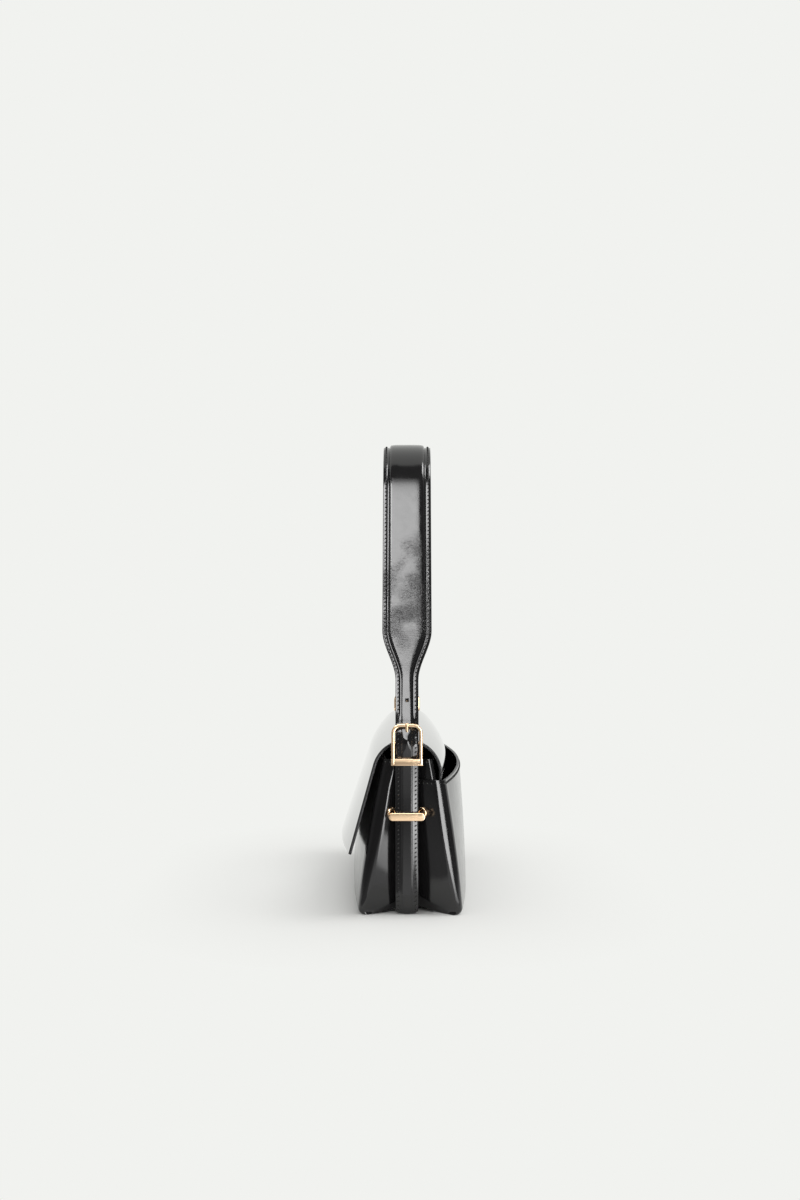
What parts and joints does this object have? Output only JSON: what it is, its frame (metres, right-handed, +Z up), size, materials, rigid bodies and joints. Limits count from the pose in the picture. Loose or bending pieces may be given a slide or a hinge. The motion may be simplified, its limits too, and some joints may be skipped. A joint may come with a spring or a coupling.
{
  "type": "baguette bag",
  "caption": "Low flap bag with a gaping back slip pocket, pushed-in gussets, a wide padded shoulder strap standing in an arch, end buckles and keeper bars.",
  "frame": {"origin": "on the floor under the strap's middle plane, halfway along the bag", "axes": "+X along the bag's length, -Y towards the flap's hanging front, +Y towards the back pocket, +Z up"},
  "size_m": [0.2734, 0.0935, 0.3349],
  "materials": {
    "leather": "polished black box calf, glossy",
    "flap_leather": "polished black box calf, glossy",
    "strap_leather": "polished black box calf, finely creased",
    "lining": "matt black lining leather",
    "gold": "polished pale gold",
    "snap_metal": "satin",
    "board": "pressed fibre board, matt",
    "padding": "felt padding, matt"
  },
  "bodies": {
    "root": {"front_panel": "leather", "back_panel": "leather", "base_panel": "leather", "gusset_right": "leather", "gusset_left": "leather", "back_pocket": "leather", "base_board": "board", "lining_front": "lining", "lining_back": "lining", "lining_gusset_right": "lining", "lining_gusset_left": "lining", "lining_base": "lining", "inner_pocket": "lining", "flap_back": "flap_leather", "snap_socket": "snap_metal", "snap_socket_washer": "snap_metal", "strap_tail_right": "strap_leather", "strap_tail_left": "strap_leather", "buckle_frame_right": "gold", "buckle_frame_left": "gold", "buckle_bar_right": "gold", "buckle_bar_left": "gold", "buckle_loop_right": "leather", "buckle_loop_left": "leather", "keeper_bar_right": "gold", "keeper_bar_left": "gold", "keeper_washers_right": "gold", "keeper_washers_left": "gold", "keeper_plate_right": "gold", "keeper_plate_left": "gold"},
    "flap_bend": {"flap_top": "flap_leather", "flap_top_lining": "lining"},
    "flap_drop": {"flap_front": "flap_leather", "flap_front_lining": "lining", "snap_stud": "snap_metal", "snap_stud_washer": "snap_metal"},
    "strap": {"strap_outer": "strap_leather", "strap_padding": "padding", "strap_lining": "strap_leather"},
    "prong_r": {"prong_right": "gold"},
    "prong_l": {"prong_left": "gold"}
  },
  "joints": [
    {"name": "flap_lift", "type": "hinge", "parent": "root", "child": "flap_bend", "pos_m": [0, 0.0299, 0.0977], "axis": [-1, 0, 0], "range_deg": [0, 20]},
    {"name": "flap_fold", "type": "hinge", "parent": "flap_bend", "child": "flap_drop", "pos_m": [0, -0.02901, 0.10425], "axis": [-1, 0, 0], "range_deg": [0, 95]},
    {"name": "strap_swing", "type": "hinge", "parent": "root", "child": "strap", "pos_m": [0, 0, 0.14], "axis": [-1, 0, 0], "range_deg": [-15, 50]},
    {"name": "prong_lift_right", "type": "hinge", "parent": "root", "child": "prong_r", "pos_m": [0.1268, 0, 0.1201], "axis": [0, 1, 0], "range_deg": [0, 8]},
    {"name": "prong_lift_left", "type": "hinge", "parent": "root", "child": "prong_l", "pos_m": [-0.1268, 0, 0.1201], "axis": [0, -1, 0], "range_deg": [0, 8]}
  ]
}
